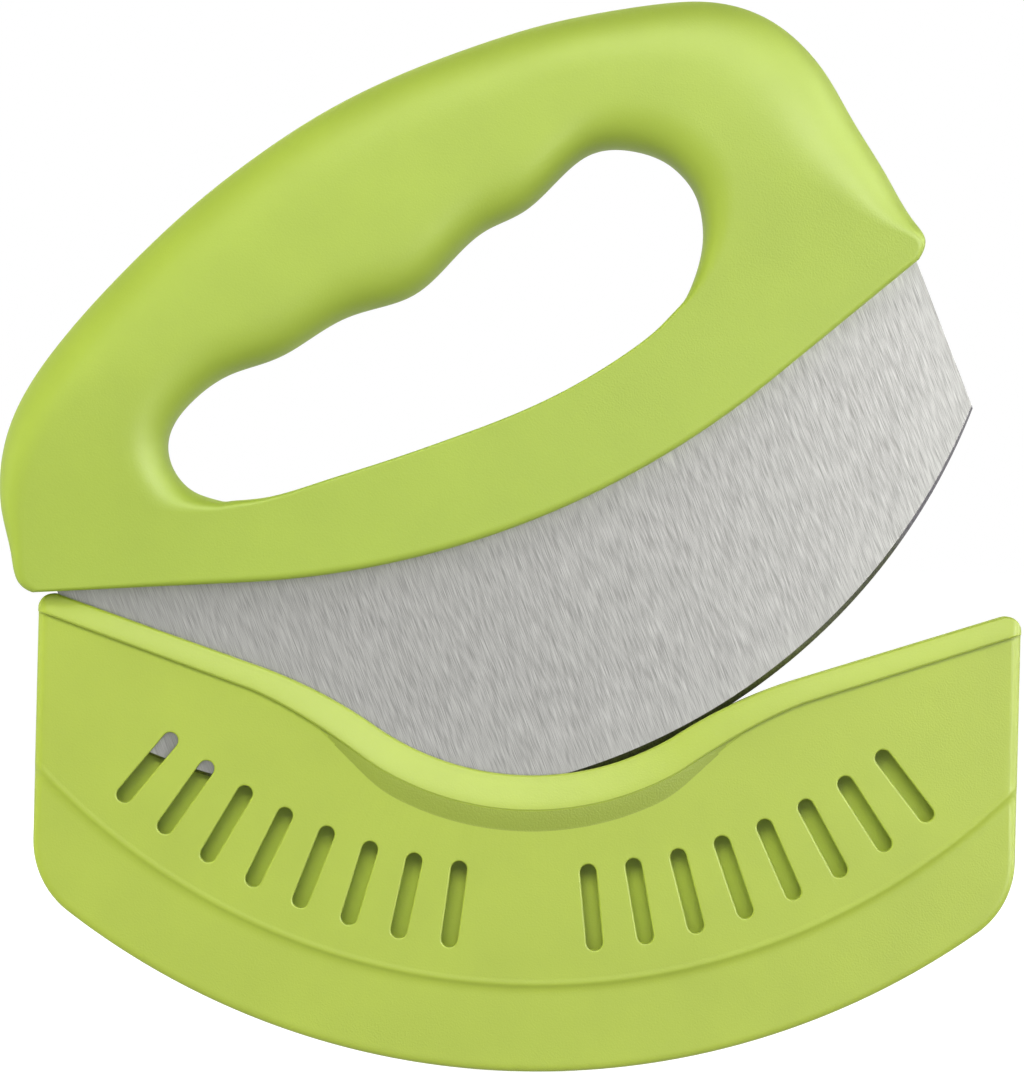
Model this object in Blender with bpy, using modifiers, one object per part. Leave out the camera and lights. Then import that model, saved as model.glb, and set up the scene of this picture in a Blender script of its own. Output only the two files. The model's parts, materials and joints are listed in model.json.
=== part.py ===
"""Rocker knife (mezzaluna style) with a one-piece handle loop and a slip-on blade sheath.

The sheath stands upright on its curved foot, and the middle of the whole object is over the
origin. The knife is shown as it leaves the sheath: turned about the rounded upper left corner of
the sheath, on which the heel of the handle rolls. Units are metres, +Z is up and the wide faces
look along Y.
"""

import math

import bmesh
import bpy
from mathutils import Matrix, Vector

MM = 0.001

# Blade
BLADE_LENGTH = 170.2 * MM
BLADE_THICKNESS = 1.6 * MM
EDGE_RADIUS = 115.2 * MM
EDGE_DEPTH = 69.4 * MM
GRIND_WIDTH = 2.2 * MM
EDGE_FLAT = 0.16 * MM
TANG_DEPTH = 11.0 * MM
TANG_CORNER = 3.0 * MM
TANG_STEPS = 20

# Lower edge of the handle: one arc between two straight ramps
RAMP_ANGLE = math.radians(18.3)
HANDLE_BELLY_RADIUS = 166.5 * MM
HANDLE_BELLY_DEPTH = 22.0 * MM
HEEL_OVERHANG = 5.8 * MM
TOE_OVERHANG = 2.6 * MM

# Handle loop; its stations are counted on a grid
HANDLE_GRID = 1.0 * MM
GRIP_THICKNESS = 25.0 * MM
FOOT_THICKNESS = 15.2 * MM
SWELL_START = -12.0 * MM
SWELL_END = 34.0 * MM
HANDLE_WALL = 2.4 * MM
HANDLE_SEAM = 0.3 * MM
SHELL_RIM = 0.6 * MM
LEAST_INNER_ROLL = 0.8 * MM
ROLL_SHARE = 0.48
STATION_STEPS = 2
OUTER_ROLL_STEPS = 4
INNER_ROLL_STEPS = 2

# Pins that weld the two handle shells together, three of them through the tang
PIN_RADIUS = 1.8 * MM
PIN_REACH = 5.0 * MM
POST_RADIUS = 4.0 * MM
FIT_CLEARANCE = 0.3 * MM
TANG_PIN_SPREAD = 60.0 * MM
TANG_PIN_RISE = 6.0 * MM
GRIP_PINS = ((-49.0 * MM, 34.0 * MM), (14.0 * MM, 47.5 * MM), (63.0 * MM, 37.0 * MM))

# Sheath
END_WALL = 1.8 * MM
END_CLEARANCE = 3.9 * MM
FOOT_RADIUS = 141.8 * MM
BAND_WIDTH = 16.0 * MM
FOOT_FILLET = 16.5 * MM
LIP_RISE = 57.3 * MM
LIP_CORNER = 2.8 * MM
DIP_DEPTH = 2.5 * MM
DIP_RADIUS = 51.0 * MM
SHOULDER_RADIUS = 90.0 * MM
SIDE_WALL = 2.2 * MM
CAVITY_THICKNESS = 3.2 * MM
BAND_THICKNESS = 5.8 * MM
FIELD_RELIEF = 0.6 * MM
LIP_RELIEF = 1.0 * MM
LIP_HEIGHT = 4.2 * MM
DIP_LIP_HEIGHT = 6.6 * MM
DIP_LIP_FULL = 25.0 * MM
DIP_LIP_REACH = 60.0 * MM
COVE_RELIEF = 0.7 * MM
COVE_HEIGHT = 3.9 * MM
COVE_FULL = 24.0 * MM
COVE_REACH = 48.0 * MM
COVE_TAPER = 1.0 * MM
LAYER_TUCK = 3.2 * MM
EDGE_ROUND = 0.7 * MM
LIP_ROUND = 1.9 * MM
MOST_ROUND_SHARE = 0.9
LAYER_INSET = 0.15 * MM

# Vent slots that fan out along the field in two groups, the rear ones half a pitch further out
SLOTS_PER_GROUP = 8
SLOT_WIDTH = 3.0 * MM
SLOT_LENGTH = 16.0 * MM
SLOT_PITCH = math.radians(4.6)
SLOT_FIRST = math.radians(6.5)
SLOT_MARGIN = 6.0 * MM
SLOT_END_STEPS = 4

# Pose of the knife: 0 is sheathed, and it is shown leaning out by the rest angle
REST_ANGLE = math.radians(22.4)
KNIFE_SHIFT = -1.2 * MM
RAMP_GAP = 0.35 * MM

# Facets: how far a chord may stray from its arc, and the angles that make an edge sharp or straight
CHORD_SAG = 0.03 * MM
SHARP_ANGLE = math.radians(35)
RIM_ANGLE = math.radians(60)
STRAIGHT_ANGLE = 0.001
ROUND_STEPS = 3
PIN_SIDES = 16
MERGE_DISTANCE = 0.01 * MM
CUTTER_SPARE = 1.0 * MM

# Sizes that follow from those above
SHEATH_HALF = BLADE_LENGTH / 2 + END_CLEARANCE + END_WALL
FIELD_THICKNESS = BAND_THICKNESS + 2 * FIELD_RELIEF
LIP_THICKNESS = FIELD_THICKNESS + 2 * LIP_RELIEF
RIDGE_RADIUS = FOOT_RADIUS - BAND_WIDTH
RAMP_TAN = math.tan(RAMP_ANGLE)
DIP_HEIGHT = LIP_RISE - DIP_DEPTH
SHOULDER_HEIGHT = SHOULDER_RADIUS + (DIP_RADIUS - DIP_DEPTH) * math.cos(RAMP_ANGLE)
DIP_ANGLE = RAMP_ANGLE + math.acos(SHOULDER_HEIGHT / (DIP_RADIUS + SHOULDER_RADIUS))
HINGE_X = -(SHEATH_HALF - LIP_CORNER)
HINGE_Z = LIP_RISE - HINGE_X * RAMP_TAN - LIP_CORNER / math.cos(RAMP_ANGLE)

GREEN = (0.462, 0.610, 0.098, 1.0)
STEEL = (0.62, 0.62, 0.60, 1.0)


def polar(radius, angle, centre=(0.0, 0.0)):
    """A point at an angle from straight down, turning towards +X."""
    return (centre[0] + radius * math.sin(angle), centre[1] - radius * math.cos(angle))


def chord_angle(radius):
    return math.sqrt(8 * CHORD_SAG / radius)


def arc_angles(radius, start, end):
    count = max(2, math.ceil(abs(end - start) / chord_angle(radius)))
    return [start + (end - start) * i / count for i in range(count + 1)]


def arc(radius, start, end, centre=(0.0, 0.0)):
    return [polar(radius, angle, centre) for angle in arc_angles(radius, start, end)]


def handle_lower_edge(x):
    """Height of the handle's lower edge, in the knife's own frame."""
    reach = abs(x)
    arc_reach = HANDLE_BELLY_RADIUS * math.sin(RAMP_ANGLE)
    arc_rise = HANDLE_BELLY_RADIUS * (1 - math.cos(RAMP_ANGLE))
    if reach < arc_reach:
        sag = HANDLE_BELLY_RADIUS - math.sqrt(HANDLE_BELLY_RADIUS ** 2 - reach ** 2)
        return sag - HANDLE_BELLY_DEPTH
    return arc_rise - HANDLE_BELLY_DEPTH + (reach - arc_reach) * RAMP_TAN


def knife_origin():
    """Where the knife's frame lies from the hinge when the knife is sheathed."""
    ramp_at_zero = handle_lower_edge(SHEATH_HALF) - SHEATH_HALF * RAMP_TAN
    lift = RAMP_GAP / math.cos(RAMP_ANGLE) + LIP_RISE - ramp_at_zero - KNIFE_SHIFT * RAMP_TAN
    return Vector((KNIFE_SHIFT - HINGE_X, 0.0, lift - HINGE_Z))


def new_object(name, mesh, collection):
    obj = bpy.data.objects.new(name, mesh)
    collection.objects.link(obj)
    return obj


def finish_mesh(name, bm, collection):
    bmesh.ops.recalc_face_normals(bm, faces=bm.faces)
    mesh = bpy.data.meshes.new(name)
    bm.to_mesh(mesh)
    bm.free()
    return new_object(name, mesh, collection)


def plate(name, outline, thickness, collection, bevel=0.0, offset_y=0.0):
    """A flat outline in the XZ plane as a 2D curve, extruded about Y = offset_y and made a mesh."""
    curve = bpy.data.curves.new(name, "CURVE")
    curve.dimensions = "2D"
    curve.fill_mode = "BOTH"
    curve.extrude = thickness / 2
    spline = curve.splines.new("POLY")
    spline.points.add(len(outline) - 1)
    for point, (x, z) in zip(spline.points, outline):
        point.co = (x, z, 0.0, 1.0)
    spline.use_cyclic_u = True
    source = new_object(name + "_outline", curve, collection)
    depsgraph = bpy.context.evaluated_depsgraph_get()
    mesh = bpy.data.meshes.new_from_object(source.evaluated_get(depsgraph))
    bpy.data.objects.remove(source)
    bm = bmesh.new()
    bm.from_mesh(mesh)
    bmesh.ops.remove_doubles(bm, verts=bm.verts, dist=MERGE_DISTANCE)
    bmesh.ops.dissolve_limit(bm, angle_limit=STRAIGHT_ANGLE, verts=bm.verts, edges=bm.edges)
    bmesh.ops.rotate(bm, cent=(0, 0, 0), matrix=Matrix.Rotation(math.pi / 2, 3, "X"), verts=bm.verts)
    bmesh.ops.translate(bm, vec=(0.0, offset_y, 0.0), verts=bm.verts)
    if bevel > 0:
        rim = [e for e in bm.edges if e.is_manifold and e.calc_face_angle() > RIM_ANGLE]
        rim = [e for e in rim if abs(e.verts[0].co.y - e.verts[1].co.y) < thickness / 4]
        bmesh.ops.bevel(bm, geom=rim, offset=bevel, segments=ROUND_STEPS, profile=0.5, affect="EDGES")
    return finish_mesh(name, bm, collection)


def cylinder(name, x, z, y_start, y_end, radius, collection):
    bm = bmesh.new()
    bmesh.ops.create_cone(bm, cap_ends=True, segments=PIN_SIDES, radius1=radius, radius2=radius,
                          depth=abs(y_end - y_start))
    bmesh.ops.rotate(bm, cent=(0, 0, 0), matrix=Matrix.Rotation(math.pi / 2, 3, "X"), verts=bm.verts)
    bmesh.ops.translate(bm, vec=(x, (y_start + y_end) / 2, z), verts=bm.verts)
    return finish_mesh(name, bm, collection)


def cut_or_join(target, tool, operation):
    modifier = target.modifiers.new(operation.lower() + "_" + tool.name, "BOOLEAN")
    modifier.operation = operation
    modifier.object = tool
    modifier.solver = "EXACT"
    tool.hide_render = True
    tool.display_type = "WIRE"


def set_material(obj, name, colour, roughness, metallic):
    material = bpy.data.materials.new(name)
    material.use_nodes = True
    shader = material.node_tree.nodes["Principled BSDF"]
    shader.inputs["Base Color"].default_value = colour
    shader.inputs["Roughness"].default_value = roughness
    shader.inputs["Metallic"].default_value = metallic
    material.diffuse_color = colour
    obj.data.materials.clear()
    obj.data.materials.append(material)


def settle(part):
    """Turn a part's Booleans into plain mesh, shaded smooth except across its sharp edges."""
    depsgraph = bpy.context.evaluated_depsgraph_get()
    mesh = bpy.data.meshes.new_from_object(part.evaluated_get(depsgraph))
    part.modifiers.clear()
    part.data = mesh
    mesh.shade_smooth()
    mesh.set_sharp_from_angle(angle=SHARP_ANGLE)


# Blade

def tang_pins():
    """The pins through the tang, at an even height above the handle's lower edge."""
    places = (-TANG_PIN_SPREAD, 0.0, TANG_PIN_SPREAD)
    return [(x, handle_lower_edge(x) + TANG_PIN_RISE) for x in places]


def blade_outline(grow=0.0):
    """Cutting arc, square ends, and a tang that follows the handle's lower edge."""
    half = BLADE_LENGTH / 2 + grow
    radius = EDGE_RADIUS + grow
    centre = (0.0, EDGE_RADIUS - EDGE_DEPTH)
    end = math.asin(half / radius)
    points = arc(radius, -end, end, centre)
    corner = TANG_CORNER
    points.append((half, handle_lower_edge(half) + TANG_DEPTH + grow - corner))
    for i in range(TANG_STEPS + 1):
        x = (half - corner) * (1 - 2 * i / TANG_STEPS)
        points.append((x, handle_lower_edge(x) + TANG_DEPTH + grow))
    points.append((-half, handle_lower_edge(half) + TANG_DEPTH + grow - corner))
    return points


def grind_ring(name, side, collection):
    """A turned ring that grinds one face of the cutting edge to a slope."""
    half = BLADE_THICKNESS / 2
    spare = CUTTER_SPARE
    slope = (half - EDGE_FLAT / 2) / GRIND_WIDTH
    inner = EDGE_RADIUS - GRIND_WIDTH - spare
    outer = EDGE_RADIUS + spare
    profile = ((outer, half + spare), (outer, EDGE_FLAT / 2 - slope * spare), (inner, half + slope * spare),
               (inner, half + slope * spare + spare))
    mesh = bpy.data.meshes.new(name)
    count = len(profile)
    mesh.from_pydata([(r, 0.0, y) for r, y in profile], [(i, (i + 1) % count) for i in range(count)], [])
    ring = new_object(name, mesh, collection)
    screw = ring.modifiers.new("turn", "SCREW")
    screw.axis = "Z"
    screw.angle = 2 * math.pi
    screw.steps = math.ceil(2 * math.pi / chord_angle(EDGE_RADIUS))
    screw.render_steps = screw.steps
    screw.use_merge_vertices = True
    screw.merge_threshold = MERGE_DISTANCE
    screw.use_normal_calculate = True
    depsgraph = bpy.context.evaluated_depsgraph_get()
    turned = bpy.data.meshes.new_from_object(ring.evaluated_get(depsgraph))
    bpy.data.objects.remove(ring)
    bm = bmesh.new()
    bm.from_mesh(turned)
    bmesh.ops.remove_doubles(bm, verts=bm.verts, dist=MERGE_DISTANCE)
    bmesh.ops.rotate(bm, cent=(0, 0, 0), matrix=Matrix.Rotation(side * math.pi / 2, 3, "X"), verts=bm.verts)
    bmesh.ops.translate(bm, vec=(0.0, 0.0, EDGE_RADIUS - EDGE_DEPTH), verts=bm.verts)
    return finish_mesh(name, bm, collection)


def make_blade(collection, cutters):
    blade = plate("blade", blade_outline(), BLADE_THICKNESS, collection)
    for label, side in (("front", 1), ("rear", -1)):
        cut_or_join(blade, grind_ring("grind_" + label, side, cutters), "DIFFERENCE")
    for i, (x, z) in enumerate(tang_pins()):
        hole = cylinder("tang_hole_%d" % i, x, z, -BLADE_THICKNESS, BLADE_THICKNESS,
                        PIN_RADIUS + FIT_CLEARANCE, cutters)
        cut_or_join(blade, hole, "DIFFERENCE")
    set_material(blade, "brushed_steel", STEEL, 0.32, 1.0)
    return blade


# Handle

def handle_stations():
    """Pairs of points on the handle's outline and on the finger hole, clockwise from the heel.

    Each row holds outline x and z, hole x and z, and how far the outer and the hole edge roll in,
    in steps of the grid. The hole's upper side carries the four finger grooves, and the last rows
    lie along the handle's lower edge.
    """
    heel = -(BLADE_LENGTH / 2 + HEEL_OVERHANG) / HANDLE_GRID
    toe = (BLADE_LENGTH / 2 + TOE_OVERHANG) / HANDLE_GRID
    rows = [
        (heel, 1.4, -54.6, 5.0, 2.0, 7.0),
        (heel + 0.7, 7.0, -56.6, 8.6, 3.0, 7.5),
        (heel + 1.9, 15.0, -57.0, 12.6, 5.0, 8.0),
        (heel + 8.3, 28.4, -54.8, 17.5, 10.0, 9.0),
        (-69.0, 39.5, -49.0, 21.2, 13.0, 10.0),
        (-53.0, 47.8, -40.5, 23.2, 15.0, 10.5),
        (-38.0, 54.1, -30.5, 23.0, 16.0, 10.5),
        (-22.0, 59.1, -17.0, 25.3, 16.0, 10.5),
        (-7.0, 62.3, -4.4, 24.7, 16.0, 10.5),
        (6.0, 63.6, 4.8, 28.1, 16.0, 10.5),
        (17.0, 63.8, 12.6, 31.1, 15.5, 10.5),
        (29.0, 63.4, 21.4, 32.1, 15.0, 10.5),
        (43.0, 61.8, 34.6, 37.2, 13.0, 10.0),
        (57.0, 58.9, 43.4, 35.2, 12.0, 10.0),
        (68.5, 54.7, 48.5, 30.9, 11.0, 9.5),
        (76.6, 47.5, 50.8, 26.4, 9.5, 9.0),
        (toe - 6.2, 37.0, 51.4, 22.0, 8.0, 8.5),
        (toe - 4.3, 26.0, 50.4, 16.8, 6.5, 8.0),
        (toe - 2.1, 14.0, 48.0, 12.0, 4.5, 7.5),
        (toe - 0.5, 3.9, 44.5, 7.7, 2.6, 7.0),
        (toe, 0.3, 42.6, 6.0, 2.0, 7.0),
    ]
    lower = [
        (toe - 2.4, 40.4, 4.8), (67.0, 34.0, 2.0), (49.0, 24.0, -0.5), (31.0, 13.0, -2.1),
        (13.0, 3.0, -2.6), (-5.0, -8.0, -2.5), (-23.0, -20.0, -2.1), (-41.0, -32.0, -1.4),
        (-58.0, -42.5, -0.5), (-74.0, -48.8, 1.2), (heel + 1.8, -52.3, 3.0),
    ]
    for x, hole_x, hole_z in lower:
        rows.append((x, handle_lower_edge(x * HANDLE_GRID) / HANDLE_GRID, hole_x, hole_z, 1.7, 6.5))
    return [[value * HANDLE_GRID for value in row] for row in rows]


def row_gap(row, following):
    """How far two stations lie from each other, on the outline and on the hole together."""
    return (math.hypot(following[0] - row[0], following[1] - row[1])
            + math.hypot(following[2] - row[2], following[3] - row[3]))


def smooth_loop(rows, steps):
    """A closed curve through rows of numbers: cubics whose slopes follow the rows' spacing."""
    count = len(rows)
    gaps = [row_gap(rows[i], rows[(i + 1) % count]) for i in range(count)]
    slopes = []
    for i in range(count):
        before, after = gaps[i - 1], gaps[i]
        slopes.append([((q - p) / before * after + (r - q) / after * before) / (before + after)
                       for p, q, r in zip(rows[i - 1], rows[i], rows[(i + 1) % count])])
    loop = []
    for i, gap in enumerate(gaps):
        k = (i + 1) % count
        for j in range(steps):
            t = j / steps
            rise = t * t * (3 - 2 * t)
            leave = gap * t * (1 - t) ** 2
            arrive = gap * t * t * (1 - t)
            loop.append([p * (1 - rise) + q * rise + u * leave - v * arrive
                         for p, q, u, v in zip(rows[i], rows[k], slopes[i], slopes[k])])
    return loop


def face_height(z):
    """Half thickness of the handle at a height: slim at its foot, full at the grip."""
    share = min(max((z - SWELL_START) / (SWELL_END - SWELL_START), 0.0), 1.0)
    return (FOOT_THICKNESS + (GRIP_THICKNESS - FOOT_THICKNESS) * share * share * (3 - 2 * share)) / 2


def roll_section(start, end, wall, outer_roll, hole_roll, steps):
    """Half of the bar's section from the outline over its face to the hole, a wall deep inside it."""
    across = end - start
    across.normalize()
    start = start + across * wall
    width = (end - start).length - wall
    turns = [math.pi / 2 * i / steps for i in range(steps + 1)]
    outer_roll, hole_roll = (min(max(roll - wall, LEAST_INNER_ROLL), width * ROLL_SHARE)
                             for roll in (outer_roll, hole_roll))
    rolled = [(outer_roll * (1 - math.cos(turn)), outer_roll, turn) for turn in turns]
    rolled += [(width - hole_roll * (1 - math.cos(turn)), hole_roll, turn) for turn in reversed(turns)]
    section = [start]
    for reach, roll, turn in rolled:
        point = start + across * reach
        height = face_height(point.z) - wall
        depth = height - min(roll, height - SHELL_RIM) * (1 - math.sin(turn))
        section.append(point + Vector((0.0, depth, 0.0)))
    section.append(start + across * width)
    return section


def shell_rings():
    """Section loops of a handle shell round the finger hole: outer skin, then inner skin."""
    rings = []
    for ox, oz, hx, hz, outer_roll, hole_roll in smooth_loop(handle_stations(), STATION_STEPS):
        start = Vector((ox, 0.0, max(oz, handle_lower_edge(ox))))
        end = Vector((hx, 0.0, hz))
        outer = roll_section(start, end, 0.0, outer_roll, hole_roll, OUTER_ROLL_STEPS)
        inner = roll_section(start, end, HANDLE_WALL, outer_roll, hole_roll, INNER_ROLL_STEPS)
        rings.append(outer + inner[::-1])
    return rings


def make_shell(name, side, collection):
    """One half of the handle; side is -1 for the front and 1 for the rear."""
    bm = bmesh.new()
    rings = []
    for ring in shell_rings():
        rings.append([bm.verts.new((p.x, side * (p.y + HANDLE_SEAM / 2), p.z)) for p in ring])
    size = len(rings[0])
    for i, ring in enumerate(rings):
        following = rings[(i + 1) % len(rings)]
        for j in range(size):
            k = (j + 1) % size
            bm.faces.new((ring[j], ring[k], following[k], following[j]))
    return finish_mesh(name, bm, collection)


def make_handle(collection, cutters):
    front = make_shell("handle_front_shell", -1, collection)
    rear = make_shell("handle_rear_shell", 1, collection)
    pocket = plate("tang_pocket", blade_outline(FIT_CLEARANCE), BLADE_THICKNESS + 2 * FIT_CLEARANCE, cutters)
    face = HANDLE_SEAM / 2
    for i, (x, z) in enumerate(tang_pins() + list(GRIP_PINS)):
        depth = face_height(z) - HANDLE_WALL / 2
        for shell, side in ((front, -1), (rear, 1)):
            post = cylinder("post_%s_%d" % (shell.name, i), x, z, side * face, side * depth,
                            POST_RADIUS, cutters)
            cut_or_join(shell, post, "UNION")
    for shell in (front, rear):
        cut_or_join(shell, pocket, "DIFFERENCE")
    for i, (x, z) in enumerate(tang_pins() + list(GRIP_PINS)):
        pin = cylinder("pin_%d" % i, x, z, -PIN_REACH, PIN_REACH, PIN_RADIUS, cutters)
        cut_or_join(front, pin, "UNION")
        socket = cylinder("socket_%d" % i, x, z, -2 * FIT_CLEARANCE, PIN_REACH + FIT_CLEARANCE,
                          PIN_RADIUS + FIT_CLEARANCE, cutters)
        cut_or_join(rear, socket, "DIFFERENCE")
    for shell in (front, rear):
        set_material(shell, shell.name + "_plastic", GREEN, 0.42, 0.0)
    return front, rear


# Sheath

def lip_line(drop):
    """Upper edge of the sheath, left to right, lowered square to itself by drop."""
    dip_centre = (0.0, DIP_HEIGHT + DIP_RADIUS)
    bend = polar(DIP_RADIUS + SHOULDER_RADIUS, DIP_ANGLE, dip_centre)
    dip_angles = arc_angles(DIP_RADIUS, 0.0, DIP_ANGLE)[:-1]
    half = [polar(DIP_RADIUS + drop, angle, dip_centre) for angle in dip_angles]
    for angle in arc_angles(SHOULDER_RADIUS, math.pi + DIP_ANGLE, math.pi + RAMP_ANGLE):
        half.append(polar(SHOULDER_RADIUS - drop, angle, bend))
    return [(-x, z) for x, z in reversed(half)] + half[1:]


def ramp_height(x, drop):
    return LIP_RISE + abs(x) * RAMP_TAN - drop / math.cos(RAMP_ANGLE)


def upper_edge(side):
    """The upper edge of a layer of the sheath, hidden inside the bead, left to right."""
    end = (side, ramp_height(side, LAYER_TUCK))
    return [(-end[0], end[1])] + lip_line(LAYER_TUCK) + [end]


def lip_corner():
    """The rounded corner in which the lip ends at the right side, downwards."""
    centre_x = SHEATH_HALF - LIP_CORNER
    centre = (centre_x, ramp_height(centre_x, LIP_CORNER))
    return arc(LIP_CORNER, math.pi + RAMP_ANGLE, math.pi / 2, centre)


def foot_edge(side):
    """The sheath's curved foot and its two rounded lower corners, right to left."""
    centre = (0.0, FOOT_RADIUS)
    fillet_angle = math.asin((side - FOOT_FILLET) / (FOOT_RADIUS - FOOT_FILLET))
    fillet_centre = polar(FOOT_RADIUS - FOOT_FILLET, fillet_angle, centre)
    right = arc(FOOT_FILLET, math.pi / 2, fillet_angle, fillet_centre)
    right += arc(FOOT_RADIUS, fillet_angle, 0.0, centre)[1:]
    return right + [(-x, z) for x, z in reversed(right[:-1])]


def ridge_edge(side, radius):
    """The arc at which the raised field ends, right to left."""
    end = math.asin(side / radius)
    return arc(radius, end, -end, (0.0, FOOT_RADIUS))


def band(name, upper, lower, thickness, rounding, collection):
    """A rounded bar between two edges of as many points, with a rounded section at each pair."""
    bm = bmesh.new()
    rings = []
    for (ux, uz), (lx, lz) in zip(upper, lower):
        middle = Vector(((ux + lx) / 2, 0.0, (uz + lz) / 2))
        up = Vector((ux - lx, 0.0, uz - lz)) / 2
        tall = up.length
        up.normalize()
        round_up = min(rounding, tall * MOST_ROUND_SHARE)
        ring = []
        for quarter, (side_y, side_up) in enumerate(((1, 1), (-1, 1), (-1, -1), (1, -1))):
            for i in range(ROUND_STEPS + 1):
                turn = math.pi / 2 * (quarter + i / ROUND_STEPS)
                y = side_y * (thickness / 2 - rounding) + rounding * math.cos(turn)
                rise = side_up * (tall - round_up) + round_up * math.sin(turn)
                ring.append(bm.verts.new(middle + up * rise + Vector((0.0, y, 0.0))))
        rings.append(ring)
    for ring, following in zip(rings, rings[1:]):
        for j in range(len(ring)):
            k = (j + 1) % len(ring)
            bm.faces.new((ring[j], ring[k], following[k], following[j]))
    bm.faces.new(rings[0])
    bm.faces.new(rings[-1])
    return finish_mesh(name, bm, collection)


def swell(x, full, reach):
    """1 up to full from the middle of the dip, falling smoothly to 0 at the reach."""
    share = min(max((reach - abs(x)) / (reach - full), 0.0), 1.0)
    return share * share * (3 - 2 * share)


def lip_swell(x):
    """How much taller the bead is than on the ramps."""
    return (DIP_LIP_HEIGHT - LIP_HEIGHT) * swell(x, DIP_LIP_FULL, DIP_LIP_REACH)


def make_lip(collection):
    """The bead along the lip, taller in the dip, with rounded ends at the sheath's sides."""
    corner = lip_corner()
    upper = [(-x, z) for x, z in reversed(corner)] + lip_line(0.0) + corner
    lower = [(x, z - lip_swell(x)) for x, z in lip_line(LIP_HEIGHT)]
    count = len(corner)
    start = SHEATH_HALF - LIP_CORNER + (LIP_HEIGHT - LIP_CORNER) * math.sin(RAMP_ANGLE)
    end = []
    for i in range(count):
        x = start + (SHEATH_HALF - start) * i / (count - 1)
        end.append((x, ramp_height(x, LIP_HEIGHT)))
    lower = [(-x, z) for x, z in reversed(end)] + lower + end
    return band("lip_bead", upper, lower, LIP_THICKNESS, LIP_ROUND, collection)


def make_cove(collection):
    """A crescent under the dip that softens the step from the field to the bead."""
    upper = []
    lower = []
    for (ux, uz), (lx, lz) in zip(lip_line(LIP_HEIGHT / 2), lip_line(LAYER_TUCK)):
        if abs(ux) < COVE_REACH:
            fall = (COVE_HEIGHT + COVE_TAPER) * swell(lx, COVE_FULL, COVE_REACH) - COVE_TAPER
            upper.append((ux, uz))
            lower.append((lx, lz - (LIP_HEIGHT - LAYER_TUCK) - lip_swell(lx) - fall))
    return band("dip_cove", upper, lower, FIELD_THICKNESS + 2 * COVE_RELIEF, COVE_RELIEF, collection)


def slot_outline(angle):
    """An obround slot that points at the centre of the foot's arc."""
    middle = RIDGE_RADIUS - SLOT_MARGIN - SLOT_LENGTH / 2
    x, z = polar(middle, angle, (0.0, FOOT_RADIUS))
    half = SLOT_LENGTH / 2 - SLOT_WIDTH / 2
    points = []
    for end, start in ((-1, -math.pi / 2), (1, math.pi / 2)):
        for i in range(SLOT_END_STEPS + 1):
            turn = start + math.pi * i / SLOT_END_STEPS
            points.append((SLOT_WIDTH / 2 * math.sin(turn), end * half - SLOT_WIDTH / 2 * math.cos(turn)))
    cos, sin = math.cos(angle), math.sin(angle)
    return [(x + u * cos - v * sin, z + u * sin + v * cos) for u, v in points]


def cavity_outline():
    """The slot for the blade, open at the top."""
    side = SHEATH_HALF - END_WALL
    top = ramp_height(SHEATH_HALF, 0.0) + LIP_CORNER
    return [(-side, top), (side, top)] + ridge_edge(side, RIDGE_RADIUS - SIDE_WALL)


def make_sheath(collection, cutters):
    body_side = SHEATH_HALF - LAYER_INSET
    field_side = body_side - LAYER_INSET
    body_edge = upper_edge(body_side) + foot_edge(body_side)
    body = plate("sheath", body_edge, BAND_THICKNESS, collection, bevel=EDGE_ROUND)
    field_edge = upper_edge(field_side) + ridge_edge(field_side, RIDGE_RADIUS)
    field = plate("raised_field", field_edge, FIELD_THICKNESS, cutters, bevel=EDGE_ROUND)
    for layer in (field, make_cove(cutters), make_lip(cutters)):
        cut_or_join(body, layer, "UNION")
    cut_or_join(body, plate("blade_cavity", cavity_outline(), CAVITY_THICKNESS, cutters), "DIFFERENCE")
    for wall, shift in ((-1, 0.0), (1, SLOT_PITCH / 2)):
        for group in (-1, 1):
            for i in range(SLOTS_PER_GROUP):
                angle = group * (SLOT_FIRST + shift + i * SLOT_PITCH)
                slot = plate("vent_slot", slot_outline(angle), LIP_THICKNESS, cutters,
                             offset_y=wall * LIP_THICKNESS / 2)
                cut_or_join(body, slot, "DIFFERENCE")
    set_material(body, "sheath_plastic", GREEN, 0.42, 0.0)
    return body


def centre_over_origin(roots, parts):
    """Slide the whole object along X until its middle is over the origin."""
    bpy.context.view_layer.update()
    reaches = [(part.matrix_world @ vertex.co).x for part in parts for vertex in part.data.vertices]
    for root in roots:
        root.location.x -= (min(reaches) + max(reaches)) / 2


def main():
    for obj in list(bpy.data.objects):
        bpy.data.objects.remove(obj)
    collection = bpy.data.collections.new("mezzaluna")
    cutters = bpy.data.collections.new("mezzaluna_cutters")
    for group in (collection, cutters):
        bpy.context.scene.collection.children.link(group)

    sheath = make_sheath(collection, cutters)
    knife_parts = [make_blade(collection, cutters), *make_handle(collection, cutters)]
    for part in list(collection.objects):
        settle(part)
    for tool in list(cutters.objects):
        bpy.data.objects.remove(tool)
    bpy.data.collections.remove(cutters)

    knife = bpy.data.objects.new("knife", None)
    collection.objects.link(knife)
    knife.location = (HINGE_X, 0.0, HINGE_Z)
    knife.rotation_euler = (0.0, -REST_ANGLE, 0.0)
    shift = Matrix.Translation(knife_origin())
    for part in knife_parts:
        part.data.transform(shift)
        part.parent = knife
    centre_over_origin([sheath, knife], [sheath, *knife_parts])


main()
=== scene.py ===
"""Looks of a rocker knife with a looped handle, leaning out of its sheath.

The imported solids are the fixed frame. The sheath, the blade and the two handle shells are
modelled again here from the same sizes, with finer surfaces, and each stands for its solid.
"""

import json
import math

import bmesh
import bpy
import numpy as np
from mathutils import Matrix, Vector
from mathutils.geometry import delaunay_2d_cdt


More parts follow.
